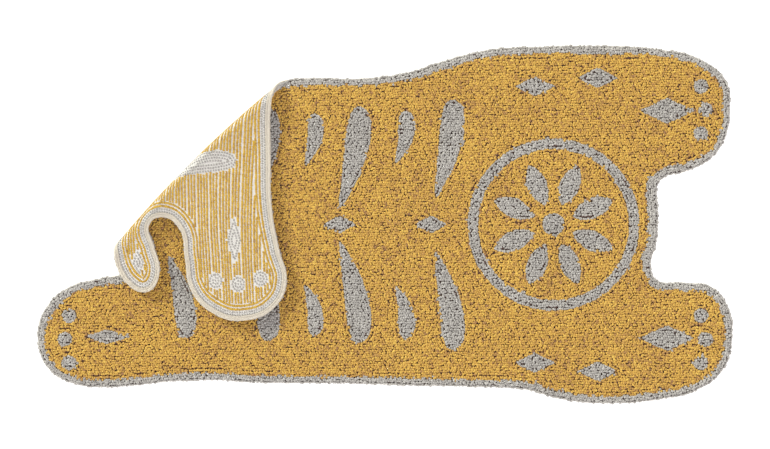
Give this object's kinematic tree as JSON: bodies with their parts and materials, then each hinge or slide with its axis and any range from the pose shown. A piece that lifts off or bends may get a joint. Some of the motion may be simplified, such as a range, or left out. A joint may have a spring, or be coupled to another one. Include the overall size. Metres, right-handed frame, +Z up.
{
  "type": "cotton rug",
  "caption": "Tufted cotton rug cut to an animal-hide outline, lying pile up with a hind leg and the tail folded over to show the striped underside and taped edge.",
  "frame": {"origin": "centre of the bounding box, on the surface that the rug lies on", "axes": "+X towards the head end, +Y towards the side whose hind leg is folded over, +Z up"},
  "size_m": [1.6022, 0.8252, 0.036],
  "materials": {
    "mustard_pile": "matt cotton pile, mustard with darker flecks",
    "grey_pile": "matt cotton pile, heathered grey",
    "canvas_backing": "plain woven cotton canvas",
    "cream_tape": "matt woven cotton tape"
  },
  "bodies": {
    "root": {"tufted_rug": "mustard_pile", "edge_binding": "cream_tape"}
  },
  "joints": []
}
